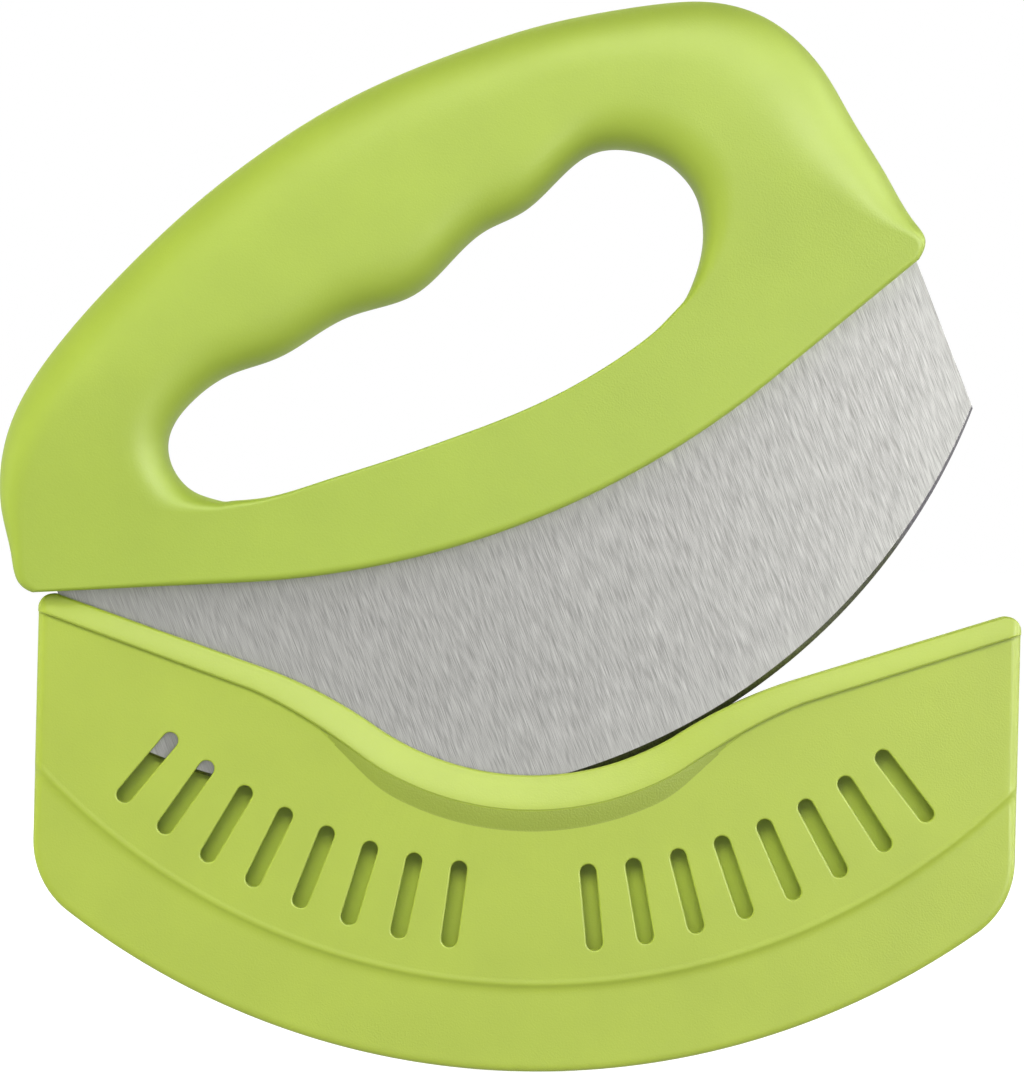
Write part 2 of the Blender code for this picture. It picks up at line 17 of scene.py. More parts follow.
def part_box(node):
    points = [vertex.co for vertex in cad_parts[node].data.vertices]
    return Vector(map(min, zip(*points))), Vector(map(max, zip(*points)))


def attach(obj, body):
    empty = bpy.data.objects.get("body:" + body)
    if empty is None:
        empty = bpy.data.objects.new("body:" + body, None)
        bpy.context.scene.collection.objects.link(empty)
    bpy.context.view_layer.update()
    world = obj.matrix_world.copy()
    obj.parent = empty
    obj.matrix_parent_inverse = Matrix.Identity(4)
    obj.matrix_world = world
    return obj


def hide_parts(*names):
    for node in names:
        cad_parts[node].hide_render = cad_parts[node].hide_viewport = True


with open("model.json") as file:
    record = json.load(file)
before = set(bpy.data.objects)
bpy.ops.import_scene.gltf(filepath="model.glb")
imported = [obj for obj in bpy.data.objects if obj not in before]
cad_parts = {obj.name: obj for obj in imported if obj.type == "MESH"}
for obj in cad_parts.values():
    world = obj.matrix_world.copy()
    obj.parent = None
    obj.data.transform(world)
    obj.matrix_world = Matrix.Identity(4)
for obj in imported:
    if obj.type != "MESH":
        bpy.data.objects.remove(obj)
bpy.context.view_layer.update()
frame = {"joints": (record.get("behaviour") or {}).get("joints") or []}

MM = 0.001

# Blade
BLADE_LENGTH = 170.2 * MM
BLADE_THICKNESS = 1.6 * MM
EDGE_RADIUS = 115.2 * MM
EDGE_DEPTH = 69.4 * MM
EDGE_FLAT = 0.12 * MM
GRIND_AT_ENDS = 0.4 * MM
GRIND_AT_MIDDLE = 1.1 * MM
TANG_DEPTH = 11.0 * MM

# Handle
RAMP_ANGLE = math.radians(18.3)
HANDLE_BELLY_RADIUS = 166.5 * MM
HANDLE_BELLY_DEPTH = 22.0 * MM
HEEL_OVERHANG = 5.8 * MM
TOE_OVERHANG = 2.6 * MM
HANDLE_GRID = 1.0 * MM
GRIP_THICKNESS = 25.0 * MM
FOOT_THICKNESS = 15.2 * MM
SWELL_START = -12.0 * MM
SWELL_END = 34.0 * MM
HANDLE_SEAM = 0.3 * MM
SEAM_DEPTH = 0.5 * MM
SHELL_RIM = 0.6 * MM
ROLL_SHARE = 0.6
ROLL_EASE = 0.76
FIT_CLEARANCE = 0.3 * MM

# Sheath
END_WALL = 1.8 * MM
END_CLEARANCE = 3.9 * MM
FOOT_RADIUS = 141.8 * MM
BAND_WIDTH = 16.0 * MM
FOOT_FILLET = 16.5 * MM
LIP_RISE = 57.3 * MM
LIP_CORNER = 2.8 * MM
DIP_DEPTH = 2.5 * MM
DIP_RADIUS = 51.0 * MM
SHOULDER_RADIUS = 90.0 * MM
SIDE_WALL = 2.2 * MM
CAVITY_THICKNESS = 3.2 * MM
BAND_THICKNESS = 5.5 * MM
FIELD_RELIEF = 0.75 * MM
LIP_RELIEF = 1.0 * MM
LIP_HEIGHT = 4.2 * MM
DIP_LIP_HEIGHT = 6.6 * MM
DIP_LIP_FULL = 25.0 * MM
DIP_LIP_REACH = 60.0 * MM
LIP_CROWN_SLOPE = 0.33
LIP_CROWN_POWER = 1.3
LIP_TOP_ROUND = 1.0 * MM
LIP_UNDER_ROUND = 0.35 * MM
LIP_TOP_LIMIT = 0.2
LIP_UNDER_LIMIT = 0.14
COVE_RELIEF = 0.85 * MM
COVE_POWER = 1.3
COVE_HEIGHT = 3.9 * MM
COVE_FULL = 24.0 * MM
COVE_REACH = 48.0 * MM
COVE_TAPER = 1.0 * MM
COVE_TUCK = 0.6 * MM
COVE_SINK = 0.03 * MM
LAYER_TUCK = 3.7 * MM
FOOT_ROUND = 1.2 * MM
SIDE_ROUND = 1.8 * MM
LAYER_INSET = 0.05 * MM
RIDGE_WIDTH = 3.0 * MM
RIDGE_CREST = 0.13
RIDGE_FLARE = 4
RIDGE_LIFT = 0.08 * MM

# Vent slots, fanned along the field in two groups on each face
SLOTS_PER_GROUP = 8
SLOT_WIDTH = 3.0 * MM
SLOT_LENGTH = 16.0 * MM
SLOT_PITCH = math.radians(4.6)
SLOT_FIRST = math.radians(6.5)
SLOT_MARGIN = 6.0 * MM
SLOT_RIM = 0.35 * MM

# How the knife lies in the sheath when it is closed
KNIFE_SHIFT = -1.2 * MM
RAMP_GAP = 0.35 * MM

# How finely the skins are divided
CHORD_SAG = 0.004 * MM
MERGE_DISTANCE = 0.001 * MM
FLAT_ANGLE = math.radians(0.05)
SHARP_ANGLE = math.radians(32)
CUTTER_SPARE = 1.0 * MM
STATION_STEPS = 12
ROLL_STEPS = 14
ROUND_STEPS = 6
RIDGE_STEPS = 14
RIDGE_LIFT_STEPS = 4
LIP_TOP_STEPS = 5
LIP_FACE_STEPS = 8
LIP_UNDER_STEPS = 4
COVE_STEPS = 8
SLOT_RIM_STEPS = 5
SLOT_END_STEPS = 12
POCKET_COLUMNS = 60

# Faces that count as square to the thickness, as flat, or as part of the cove, by their normals
EDGE_ON = 0.02
FACE_ON = 0.99
COVE_FACE_ON = 0.9
COVE_DOWN = -0.1

SHEATH_HALF = BLADE_LENGTH / 2 + END_CLEARANCE + END_WALL
FIELD_THICKNESS = BAND_THICKNESS + 2 * FIELD_RELIEF
LIP_THICKNESS = FIELD_THICKNESS + 2 * LIP_RELIEF
RIDGE_RADIUS = FOOT_RADIUS - BAND_WIDTH
BODY_HALF = SHEATH_HALF - LAYER_INSET
FILLET_X = BODY_HALF - FOOT_FILLET
FILLET_ANGLE = math.asin(FILLET_X / (FOOT_RADIUS - FOOT_FILLET))
FILLET_Z = FOOT_RADIUS - (FOOT_RADIUS - FOOT_FILLET) * math.cos(FILLET_ANGLE)
RAMP_TAN = math.tan(RAMP_ANGLE)
DIP_HEIGHT = LIP_RISE - DIP_DEPTH
SHOULDER_HEIGHT = SHOULDER_RADIUS + (DIP_RADIUS - DIP_DEPTH) * math.cos(RAMP_ANGLE)
DIP_ANGLE = RAMP_ANGLE + math.acos(SHOULDER_HEIGHT / (DIP_RADIUS + SHOULDER_RADIUS))

# Places that come from the frame
SHEATH_LOW, SHEATH_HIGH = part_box("sheath")
SHEATH_MIDDLE = (SHEATH_LOW.x + SHEATH_HIGH.x) / 2
HINGE = Vector(frame["joints"][0]["pos_m"])
REST_ANGLE = -math.radians(frame["joints"][0]["range_deg"][0])

# The photograph's frame, its scale at the object and the camera's slight roll in it
PHOTO_WIDTH = 1024
PHOTO_HEIGHT = 1073
PHOTO_SCALE = 0.185 * MM
CAMERA_ROLL = math.radians(1.4)
CAMERA_DISTANCE = 1.5
CAMERA_AIM = Vector((SHEATH_MIDDLE - 3.65 * MM, 0.0, 98.8 * MM))
SENSOR = 36.0

# Light that reaches the object from its surroundings: from below, from the sides and from above
FLOOR_GLOW = 0.67
SIDE_GLOW = 0.85
TOP_GLOW = 0.15

# Floor
FLOOR_RADIUS = 30.0
FLOOR_SEGMENTS = 96


# Numbers and plane figures

def smooth_step(share):
    """An even S from 0 to 1 as the share goes from 0 to 1, and level on both sides of that."""
    share = min(max(share, 0.0), 1.0)
    return share * share * (3 - 2 * share)


def quarter_turns(steps):
    """Angles from 0 to a right angle in even steps."""
    return [math.pi / 2 * i / steps for i in range(steps + 1)]


def polar(radius, angle, centre=(0.0, 0.0)):
    """A point at an angle from straight down, turning towards +X."""
    return (centre[0] + radius * math.sin(angle), centre[1] - radius * math.cos(angle))


def arc_angles(radius, start, end):
    count = max(2, math.ceil(abs(end - start) / math.sqrt(8 * CHORD_SAG / radius)))
    return [start + (end - start) * i / count for i in range(count + 1)]


def arc(radius, start, end, centre=(0.0, 0.0)):
    return [polar(radius, angle, centre) for angle in arc_angles(radius, start, end)]


def handle_lower_edge(x):
    """Height of the handle's lower edge, in the knife's own frame."""
    reach = abs(x)
    arc_reach = HANDLE_BELLY_RADIUS * math.sin(RAMP_ANGLE)
    if reach < arc_reach:
        sag = HANDLE_BELLY_RADIUS - math.sqrt(HANDLE_BELLY_RADIUS ** 2 - reach ** 2)
        return sag - HANDLE_BELLY_DEPTH
    arc_rise = HANDLE_BELLY_RADIUS * (1 - math.cos(RAMP_ANGLE))
    return arc_rise - HANDLE_BELLY_DEPTH + (reach - arc_reach) * RAMP_TAN


def ramp_height(x, drop):
    return LIP_RISE + abs(x) * RAMP_TAN - drop / math.cos(RAMP_ANGLE)


def lip_line(drop):
    """Upper edge of the sheath, left to right, lowered square to itself by drop."""
    dip_centre = (0.0, DIP_HEIGHT + DIP_RADIUS)
    bend = polar(DIP_RADIUS + SHOULDER_RADIUS, DIP_ANGLE, dip_centre)
    half = []
    for angle in arc_angles(DIP_RADIUS, 0.0, DIP_ANGLE)[:-1]:
        half.append(polar(DIP_RADIUS + drop, angle, dip_centre))
    for angle in arc_angles(SHOULDER_RADIUS, math.pi + DIP_ANGLE, math.pi + RAMP_ANGLE):
        half.append(polar(SHOULDER_RADIUS - drop, angle, bend))
    return [(-x, z) for x, z in reversed(half)] + half[1:]


def side_and_foot(inset):
    """Down the right side, along the curved foot and up the left side, at an inset from them."""
    side = BODY_HALF - inset
    right = [(side, ramp_height(side, LAYER_TUCK))]
    right += arc(FOOT_FILLET - inset, math.pi / 2, FILLET_ANGLE, (FILLET_X, FILLET_Z))
    right += arc(FOOT_RADIUS - inset, FILLET_ANGLE, 0.0, (0.0, FOOT_RADIUS))[1:]
    return right + [(-x, z) for x, z in reversed(right[:-1])]


# Meshes

def mesh_object(name, bm):
    bmesh.ops.recalc_face_normals(bm, faces=bm.faces)
    mesh = bpy.data.meshes.new(name)
    bm.to_mesh(mesh)
    bm.free()
    obj = bpy.data.objects.new(name, mesh)
    bpy.context.scene.collection.objects.link(obj)
    return obj


def loft(name, rings, closed=False):
    """A skin over rings of as many points: a loop of rings if closed, else with its ends capped."""
    bm = bmesh.new()
    loops = [[bm.verts.new(point) for point in ring] for ring in rings]
    pairs = list(zip(loops, loops[1:]))
    if closed:
        pairs.append((loops[-1], loops[0]))
    else:
        bm.faces.new(loops[0])
        bm.faces.new(loops[-1])
    for ring, following in pairs:
        for j in range(len(ring)):
            k = (j + 1) % len(ring)
            bm.faces.new((ring[j], ring[k], following[k], following[j]))
    return mesh_object(name, bm)


def plate(name, outline, thickness):
    """A flat outline in the XZ plane, with an even thickness about Y = 0."""
    return loft(name, [[(x, y, z) for x, z in outline] for y in (-thickness / 2, thickness / 2)])


def combine(target, tool, operation):
    """Join a tool to the target or cut it out, and leave plain mesh."""
    modifier = target.modifiers.new("combine", "BOOLEAN")
    modifier.operation = operation
    modifier.object = tool
    modifier.solver = "EXACT"
    depsgraph = bpy.context.evaluated_depsgraph_get()
    mesh = bpy.data.meshes.new_from_object(target.evaluated_get(depsgraph))
    target.modifiers.clear()
    target.data = mesh
    bpy.data.objects.remove(tool)


def finish_piece(obj, body, node, materials):
    """Smooth shading with even flats, then the materials and the body that the piece rides on."""
    obj.data.shade_smooth()
    obj.data.set_sharp_from_angle(angle=SHARP_ANGLE)
    weighted = obj.modifiers.new("even_flats", "WEIGHTED_NORMAL")
    weighted.keep_sharp = True
    obj.data.materials.clear()
    for material in materials:
        obj.data.materials.append(material)
    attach(obj, body)
    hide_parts(node)


# Materials

def principled(name, roughness, metallic=0.0):
    material = bpy.data.materials.new(name)
    material.use_nodes = True
    shader = material.node_tree.nodes["Principled BSDF"]
    shader.inputs["Roughness"].default_value = roughness
    shader.inputs["Metallic"].default_value = metallic
    return material, material.node_tree.nodes, material.node_tree.links, shader


def stretched_noise(nodes, links, cells, detail, turn=0.0):
    """Noise whose cells have the given sizes in metres along X, Y and Z of the turned object."""
    place = nodes.new("ShaderNodeTexCoord")
    turned = nodes.new("ShaderNodeMapping")
    turned.inputs["Rotation"].default_value = (0.0, turn, 0.0)
    scaled = nodes.new("ShaderNodeMapping")
    scaled.inputs["Scale"].default_value = [1 / cell for cell in cells]
    noise = nodes.new("ShaderNodeTexNoise")
    noise.inputs["Scale"].default_value = 1.0
    noise.inputs["Detail"].default_value = detail
    links.new(place.outputs["Object"], turned.inputs["Vector"])
    links.new(turned.outputs["Vector"], scaled.inputs["Vector"])
    links.new(scaled.outputs["Vector"], noise.inputs["Vector"])
    return noise


def ramp(nodes, links, source, stops):
    """A colour ramp over a noise's value, with stops of position and colour."""
    node = nodes.new("ShaderNodeValToRGB")
    while len(node.color_ramp.elements) < len(stops):
        node.color_ramp.elements.new(1.0)
    for element, (position, colour) in zip(node.color_ramp.elements, stops):
        element.position = position
        element.color = (*colour, 1.0)
    links.new(source.outputs["Fac"], node.inputs["Fac"])
    return node


def add_bump(nodes, links, shader, source, distance, strength):
    bump = nodes.new("ShaderNodeBump")
    bump.inputs["Distance"].default_value = distance
    bump.inputs["Strength"].default_value = strength
    links.new(source.outputs["Fac"], bump.inputs["Height"])
    links.new(bump.outputs["Normal"], shader.inputs["Normal"])


def lime_plastic(name, colour, roughness, grain_depth):
    """Satin moulded plastic: faint clouding of its colour and a fine spark-eroded grain."""
    material, nodes, links, shader = principled(name, roughness)
    cloud = stretched_noise(nodes, links, (14 * MM, 14 * MM, 14 * MM), 3.0)
    shades = [(0.3, [c * 0.97 for c in colour]), (0.7, [c * 1.03 for c in colour])]
    links.new(ramp(nodes, links, cloud, shades).outputs["Color"], shader.inputs["Base Color"])
    grain = stretched_noise(nodes, links, (0.35 * MM, 0.35 * MM, 0.35 * MM), 2.0)
    add_bump(nodes, links, shader, grain, grain_depth, 1.0)
    gloss = ramp(nodes, links, grain, [(0.3, [roughness - 0.06] * 3), (0.7, [roughness + 0.06] * 3)])
    links.new(gloss.outputs["Color"], shader.inputs["Roughness"])
    shader.inputs["Subsurface Weight"].default_value = 0.12
    shader.inputs["Subsurface Radius"].default_value = (1.0, 1.0, 0.3)
    shader.inputs["Subsurface Scale"].default_value = 1.5 * MM
    return material


def brushed_steel():
    """Stainless steel brushed square to the blade's chord."""
    material, nodes, links, shader = principled("brushed_steel", 0.36, 1.0)
    streaks = stretched_noise(nodes, links, (0.085 * MM, 1.0 * MM, 4.0 * MM), 1.0, REST_ANGLE)
    shades = [(0.3, (0.3, 0.3, 0.284)), (0.7, (0.475, 0.475, 0.45))]
    links.new(ramp(nodes, links, streaks, shades).outputs["Color"], shader.inputs["Base Color"])
    gloss = ramp(nodes, links, streaks, [(0.3, (0.30, 0.30, 0.30)), (0.7, (0.44, 0.44, 0.44))])
    links.new(gloss.outputs["Color"], shader.inputs["Roughness"])
    add_bump(nodes, links, shader, streaks, 0.01 * MM, 0.5)
    return material


def ground_steel_painted_dark():
    """The polished slope of the cutting edge, with faint grinding lines, its steel darkened and
    slightly blued as a painted dark reflection.
    """
    material, nodes, links, shader = principled("ground_steel_painted_dark", 0.3, 1.0)
    lines = stretched_noise(nodes, links, (0.3 * MM, 0.3 * MM, 1.5 * MM), 2.0, REST_ANGLE)
    # Dark, slightly blue shades: painted dark reflection on the edge's slope, on top of the real
    # grinding lines.
    shades = [(0.3, (0.165, 0.16, 0.17)), (0.7, (0.29, 0.28, 0.295))]
    links.new(ramp(nodes, links, lines, shades).outputs["Color"], shader.inputs["Base Color"])
    return material


def sheared_steel():
    """The dull cut ends of the blade."""
    material, _, _, shader = principled("sheared_steel", 0.65, 1.0)
    shader.inputs["Base Color"].default_value = (0.16, 0.16, 0.15, 1.0)
    return material


# Sheath

def edge_fall(inset, radius):
    """How far a rounded edge has dropped at an inset from its side."""
    if inset >= radius:
        return 0.0
    return radius - math.sqrt(radius ** 2 - (radius - inset) ** 2)


def side_or_foot_inset(x, z):
    """Distance of a place inwards from the sheath's side, lower corner or foot."""
    reach = math.hypot(x, FOOT_RADIUS - z)
    if z >= FILLET_Z:
        inset = BODY_HALF - abs(x)
    elif math.atan2(abs(x), FOOT_RADIUS - z) > FILLET_ANGLE:
        inset = FOOT_FILLET - math.hypot(abs(x) - FILLET_X, FILLET_Z - z)
    else:
        inset = FOOT_RADIUS - reach
    return max(inset, 0.0)


def ridge_drop(share):
    """From 0 at the edge of the field to 1 on the band: rolled at the crest, then flared."""
    rolled = min(share / RIDGE_CREST, 1.0) ** 2 * RIDGE_CREST * (1 - RIDGE_CREST)
    flared = 1 - (1 - max(share - RIDGE_CREST, 0.0) / (1 - RIDGE_CREST)) ** RIDGE_FLARE
    return rolled + (1 - RIDGE_CREST * (1 - RIDGE_CREST)) * flared


def body_depth(x, z):
    """Half thickness at a place: the field ends in a low crest, then drops to the band."""
    reach = math.hypot(x, FOOT_RADIUS - z) - RIDGE_RADIUS
    place = reach / RIDGE_WIDTH + RIDGE_CREST
    lift = RIDGE_LIFT * smooth_step(1 + place * RIDGE_STEPS / RIDGE_LIFT_STEPS)
    drop = (FIELD_RELIEF + RIDGE_LIFT) * ridge_drop(min(max(place, 0.0), 1.0))
    radius = np.interp(z, [FILLET_Z, DIP_HEIGHT], [FOOT_ROUND, SIDE_ROUND])
    return FIELD_THICKNESS / 2 + lift - drop - edge_fall(side_or_foot_inset(x, z), radius)


def sheath_body():
    """Band and raised field in one skin; its upper edge is hidden inside the bead."""
    right_end, *lower = side_and_foot(0.0)
    outline = lip_line(LAYER_TUCK) + [right_end] + lower
    paths = [outline + outline[:1]]
    for turn in quarter_turns(ROUND_STEPS)[1:]:
        paths.append(side_and_foot(SIDE_ROUND * (1 - math.cos(turn))))
    for i in range(-RIDGE_LIFT_STEPS, RIDGE_STEPS + 1):
        radius = RIDGE_RADIUS + RIDGE_WIDTH * (i / RIDGE_STEPS - RIDGE_CREST)
        angle = math.asin(BODY_HALF / radius)
        paths.append(arc(radius, -angle, angle, (0.0, FOOT_RADIUS)))
    points, edges = [], []
    for path in paths:
        edges += [(len(points) + i, len(points) + i + 1) for i in range(len(path) - 1)]
        points += [Vector(point) for point in path]
    places, _, faces, *_ = delaunay_2d_cdt(points, edges, [], 1, MERGE_DISTANCE)
    bm = bmesh.new()
    front = [bm.verts.new((x, -body_depth(x, z), z)) for x, z in places]
    rear = [bm.verts.new((x, body_depth(x, z), z)) for x, z in places]
    steps = {(face[i - 1], face[i]) for face in faces for i in range(len(face))}
    for face in faces:
        bm.faces.new([front[i] for i in face])
        bm.faces.new([rear[i] for i in face])
    for i, j in sorted(steps):
        if (j, i) not in steps:
            bm.faces.new((front[i], front[j], rear[j], rear[i]))
    bmesh.ops.dissolve_limit(bm, angle_limit=FLAT_ANGLE, verts=bm.verts, edges=bm.edges)
    return mesh_object("sheath_moulding", bm)


def swell(x, full, reach):
    """1 up to full from the middle of the dip, falling smoothly to 0 at the reach."""
    return smooth_step((reach - abs(x)) / (reach - full))


def lip_swell(x):
    """How much taller the bead is than on the ramps."""
    return (DIP_LIP_HEIGHT - LIP_HEIGHT) * swell(x, DIP_LIP_FULL, DIP_LIP_REACH)


def lip_pairs():
    """Points of the bead's upper edge with those of its lower edge, left to right."""
    corner_x = SHEATH_HALF - LIP_CORNER
    centre = (corner_x, ramp_height(corner_x, LIP_CORNER))
    corner = arc(LIP_CORNER, math.pi + RAMP_ANGLE, math.pi / 2, centre)
    upper = lip_line(0.0)
    lower = [(x, z - lip_swell(x)) for x, z in lip_line(LIP_HEIGHT)]
    start = corner_x + (LIP_HEIGHT - LIP_CORNER) * math.sin(RAMP_ANGLE)
    end = [(x, ramp_height(x, LIP_HEIGHT)) for x in np.linspace(start, SHEATH_HALF, len(corner))]
    upper = [(-x, z) for x, z in reversed(corner)] + upper + corner
    lower = [(-x, z) for x, z in reversed(end)] + lower + end
    return list(zip(upper, lower))


def lip_bead():
    """The bead: a face that leans back towards its rounded top, over a crisp under edge."""
    rings = []
    for (ux, uz), (lx, lz) in lip_pairs():
        down = Vector((lx - ux, 0.0, lz - uz))
        height = down.length
        down.normalize()
        half = LIP_THICKNESS / 2
        under = min(LIP_UNDER_ROUND, height * LIP_UNDER_LIMIT)
        top = min(LIP_TOP_ROUND, height * LIP_TOP_LIMIT)
        crown = LIP_CROWN_SLOPE * height * height / DIP_LIP_HEIGHT
        right = []
        for turn in quarter_turns(LIP_TOP_STEPS):
            right.append((half - crown - top * (1 - math.sin(turn)), top * (1 - math.cos(turn))))
        for i in range(1, LIP_FACE_STEPS + 1):
            share = i / LIP_FACE_STEPS
            y = half - crown * (1 - share) ** LIP_CROWN_POWER
            right.append((y, top + (height - under - top) * share))
        for turn in quarter_turns(LIP_UNDER_STEPS)[1:]:
            right.append((half - under * (1 - math.cos(turn)), height - under * (1 - math.sin(turn))))
        ring = right + [(-y, depth) for y, depth in reversed(right)]
        places = [Vector((ux, y, uz)) + down * depth for y, depth in ring]
        for place in places:
            fall = edge_fall(max(SHEATH_HALF - abs(place.x), 0.0), SIDE_ROUND)
            place.y = math.copysign(max(abs(place.y) - fall, BAND_THICKNESS / 4), place.y)
        rings.append(places)
    return loft("lip_bead", rings)


def dip_cove():
    """The crescent under the dip, which falls from the bead to the field."""
    half = FIELD_THICKNESS / 2 - COVE_SINK
    rings = []
    for x, z in lip_line(LAYER_TUCK):
        if abs(x) < COVE_REACH:
            share = swell(x, COVE_FULL, COVE_REACH)
            start = z - (LIP_HEIGHT - LAYER_TUCK) - lip_swell(x)
            fall = (COVE_HEIGHT + COVE_TAPER) * share - COVE_TAPER
            right = [(x, half + COVE_RELIEF * share, start + COVE_TUCK)]
            for i in range(COVE_STEPS + 1):
                down = i / COVE_STEPS
                relief = COVE_RELIEF * share * (1 - down ** COVE_POWER)
                right.append((x, half + relief, start - fall * down))
            rings.append(right + [(x, -y, z) for x, y, z in reversed(right)])
    return loft("dip_cove", rings)


def slot_cutter(name, angle, side):
    """An obround cutter that points at the centre of the foot's arc and flares at the face."""
    middle = RIDGE_RADIUS - SLOT_MARGIN - SLOT_LENGTH / 2
    x, z = polar(middle, angle, (0.0, FOOT_RADIUS))
    half = SLOT_LENGTH / 2 - SLOT_WIDTH / 2
    face = FIELD_THICKNESS / 2
    levels = [(0.0, 0.0)]
    for turn in quarter_turns(SLOT_RIM_STEPS):
        levels.append((face - SLOT_RIM * (1 - math.sin(turn)), SLOT_RIM * (1 - math.cos(turn))))
    levels.append((face + CUTTER_SPARE, SLOT_RIM))
    rings = []
    for y, grow in levels:
        ring = []
        for end, start in ((-1, -math.pi / 2), (1, math.pi / 2)):
            for i in range(SLOT_END_STEPS + 1):
                turn = start + math.pi * i / SLOT_END_STEPS
                radius = SLOT_WIDTH / 2 + grow
                u = radius * math.sin(turn)
                v = end * half - radius * math.cos(turn)
                ring.append((x + u * math.cos(angle) - v * math.sin(angle), side * y,
                             z + u * math.sin(angle) + v * math.cos(angle)))
        rings.append(ring)
    return loft(name, rings)


def cavity_outline():
    """The slot for the blade, open at the top."""
    side = SHEATH_HALF - END_WALL
    top = ramp_height(SHEATH_HALF, 0.0) + LIP_CORNER
    radius = RIDGE_RADIUS - SIDE_WALL
    end = math.asin(side / radius)
    return [(-side, top), (side, top)] + arc(radius, end, -end, (0.0, FOOT_RADIUS))


def make_sheath(smooth, grain_and_painted_shade):
    """Bead and cove joined to the body, slots cut, and the cove's downward slope in a darker copy of
    the plastic with coarser grain: painted shade.
    """
    sheath = sheath_body()
    for layer in (dip_cove(), lip_bead()):
        combine(sheath, layer, "UNION")
    combine(sheath, plate("blade_cavity", cavity_outline(), CAVITY_THICKNESS), "DIFFERENCE")
    for face, shift in ((-1, 0.0), (1, SLOT_PITCH / 2)):
        for group in (-1, 1):
            for i in range(SLOTS_PER_GROUP):
                angle = group * (SLOT_FIRST + shift + i * SLOT_PITCH)
                combine(sheath, slot_cutter("vent_slot", angle, face), "DIFFERENCE")
    sheath.data.transform(Matrix.Translation((SHEATH_MIDDLE, 0.0, 0.0)))
    finish_piece(sheath, "sheath", "sheath", [smooth, grain_and_painted_shade])
    # Faces of the cove that slope downward get the darker plastic: painted shade where the slope
    # turns from the light.
    above_slots = RIDGE_RADIUS - SLOT_MARGIN - SLOT_LENGTH - 2 * SLOT_RIM
    for face in sheath.data.polygons:
        reach = math.hypot(face.center.x - SHEATH_MIDDLE, FOOT_RADIUS - face.center.z)
        slopes = abs(face.normal.y) > COVE_FACE_ON and face.normal.z < COVE_DOWN
        if slopes and reach < above_slots:
            face.material_index = 1


# Knife

def knife_matrix():
    """From the knife's own frame to its place at rest."""
    hinge_x = -(SHEATH_HALF - LIP_CORNER)
    hinge_z = LIP_RISE - hinge_x * RAMP_TAN - LIP_CORNER / math.cos(RAMP_ANGLE)
    ramp_at_zero = handle_lower_edge(SHEATH_HALF) - SHEATH_HALF * RAMP_TAN
    lift = RAMP_GAP / math.cos(RAMP_ANGLE) + LIP_RISE - ramp_at_zero - KNIFE_SHIFT * RAMP_TAN
    offset = Matrix.Translation((KNIFE_SHIFT - hinge_x, 0.0, lift - hinge_z))
    return Matrix.Translation(HINGE) @ Matrix.Rotation(-REST_ANGLE, 4, "Y") @ offset


def make_blade(flat, ground, sheared):
    """Columns from the tang to the cutting edge, with a grind that narrows towards the ends."""
    half = BLADE_THICKNESS / 2
    end = math.asin(BLADE_LENGTH / 2 / EDGE_RADIUS)
    rings = []
    for angle in arc_angles(EDGE_RADIUS, -end, end):
        x, edge = polar(EDGE_RADIUS, angle, (0.0, EDGE_RADIUS - EDGE_DEPTH))
        share = math.cos(math.pi / 2 * angle / end)
        grind = GRIND_AT_ENDS + (GRIND_AT_MIDDLE - GRIND_AT_ENDS) * share
        start = edge + grind / math.cos(angle)
        tang = handle_lower_edge(x) + TANG_DEPTH
        front = [(x, -half, tang), (x, -half, start), (x, -EDGE_FLAT / 2, edge)]
        rings.append(front + [(px, -py, pz) for px, py, pz in reversed(front)])
    blade = loft("blade_plate", rings)
    blade.data.transform(knife_matrix())
    finish_piece(blade, "knife", "blade", [flat, ground, sheared])
    for face in blade.data.polygons:
        if abs(face.normal.y) < EDGE_ON:
            face.material_index = 2
        elif abs(face.normal.y) < FACE_ON:
            face.material_index = 1


